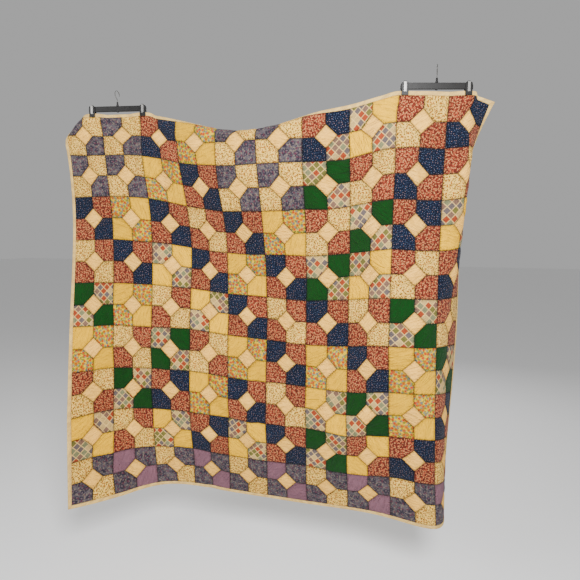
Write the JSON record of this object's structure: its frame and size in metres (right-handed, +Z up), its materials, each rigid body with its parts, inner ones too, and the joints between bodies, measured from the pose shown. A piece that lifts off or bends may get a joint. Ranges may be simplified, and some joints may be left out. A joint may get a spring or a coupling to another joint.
{
  "type": "patchwork quilt on clip hangers",
  "caption": "Scrappy bow-tie patchwork quilt hung by its top edge from two black clip hangers, with tan binding.",
  "frame": {"origin": "on the straight line that both hanger hooks bear on, midway between the two hooks", "axes": "+X along that line to the right seen from the front, +Y to the back, +Z up; the pieced front faces -Y"},
  "size_m": [2.1134, 0.4925, 2.1158],
  "materials": {
    "pieced_cotton": "pieced printed cotton",
    "plain_cotton": "plain cotton",
    "binding_cotton": "plain tan cotton",
    "black_plastic": "moulded",
    "steel": "bright"
  },
  "bodies": {
    "root": {"quilt_top": "pieced_cotton", "quilt_backing": "plain_cotton", "binding_top": "binding_cotton", "binding_bottom": "binding_cotton", "binding_left": "binding_cotton", "binding_right": "binding_cotton", "left_hanger_bar": "black_plastic", "left_hanger_collar": "black_plastic", "left_hanger_hook": "steel", "left_clip_a_front": "black_plastic", "left_clip_a_back": "black_plastic", "left_clip_a_spring": "steel", "left_clip_b_front": "black_plastic", "left_clip_b_back": "black_plastic", "left_clip_b_spring": "steel", "right_hanger_bar": "black_plastic", "right_hanger_collar": "black_plastic", "right_hanger_hook": "steel", "right_clip_a_front": "black_plastic", "right_clip_a_back": "black_plastic", "right_clip_a_spring": "steel", "right_clip_b_front": "black_plastic", "right_clip_b_back": "black_plastic", "right_clip_b_spring": "steel"}
  },
  "joints": []
}
